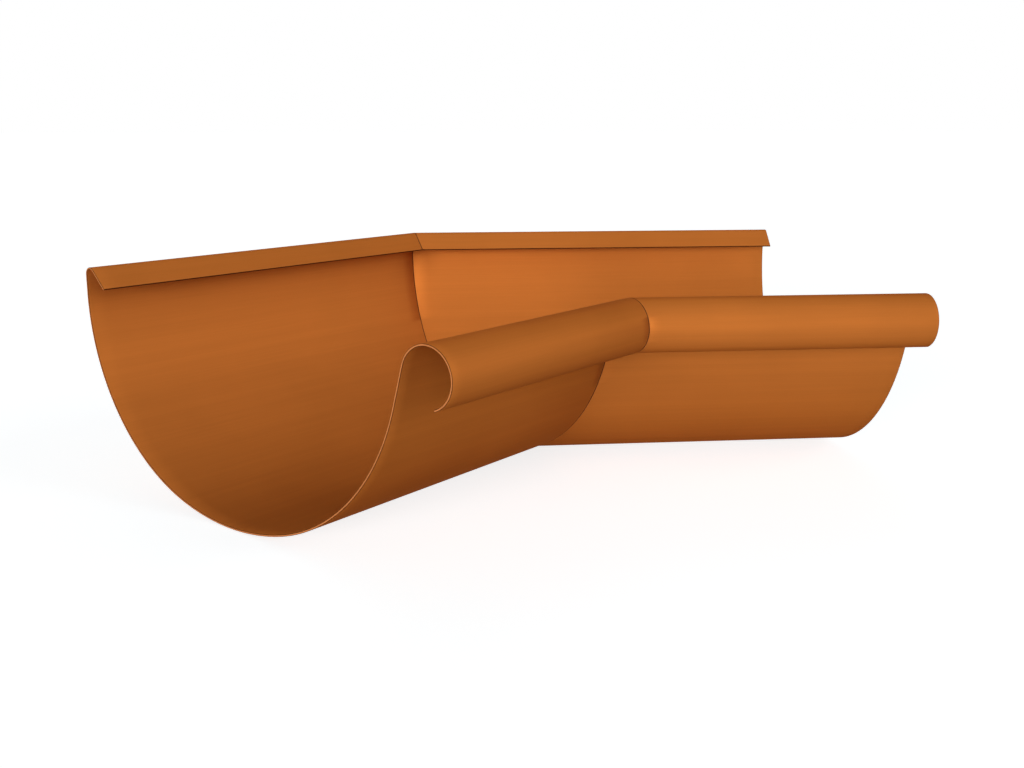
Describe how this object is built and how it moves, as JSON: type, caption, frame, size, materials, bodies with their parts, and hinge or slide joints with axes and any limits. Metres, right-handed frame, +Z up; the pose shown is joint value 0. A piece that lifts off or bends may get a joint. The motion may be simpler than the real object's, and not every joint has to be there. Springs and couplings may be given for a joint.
{
  "type": "gutter inside miter",
  "caption": "Half-round gutter corner for an inside bend of a roof edge: a mitred sheet trough with a rolled front bead and a folded back edge.",
  "frame": {"origin": "centre of the base of the part's box, level with the bowls' lowest lines", "axes": "+Z up out of the open trough; the miter plane is X = 0, the legs run to left (-X) and right (+X), and the beads face -Y, the hollow side of the corner"},
  "size_m": [0.32, 0.2258, 0.0811],
  "materials": {
    "copper_sheet": "satin, lightly toned copper sheet",
    "solder": "dull, toned to the sheet's colour"
  },
  "bodies": {
    "root": {"left_section": "copper_sheet", "right_section": "copper_sheet", "miter_seam": "solder"}
  },
  "joints": []
}
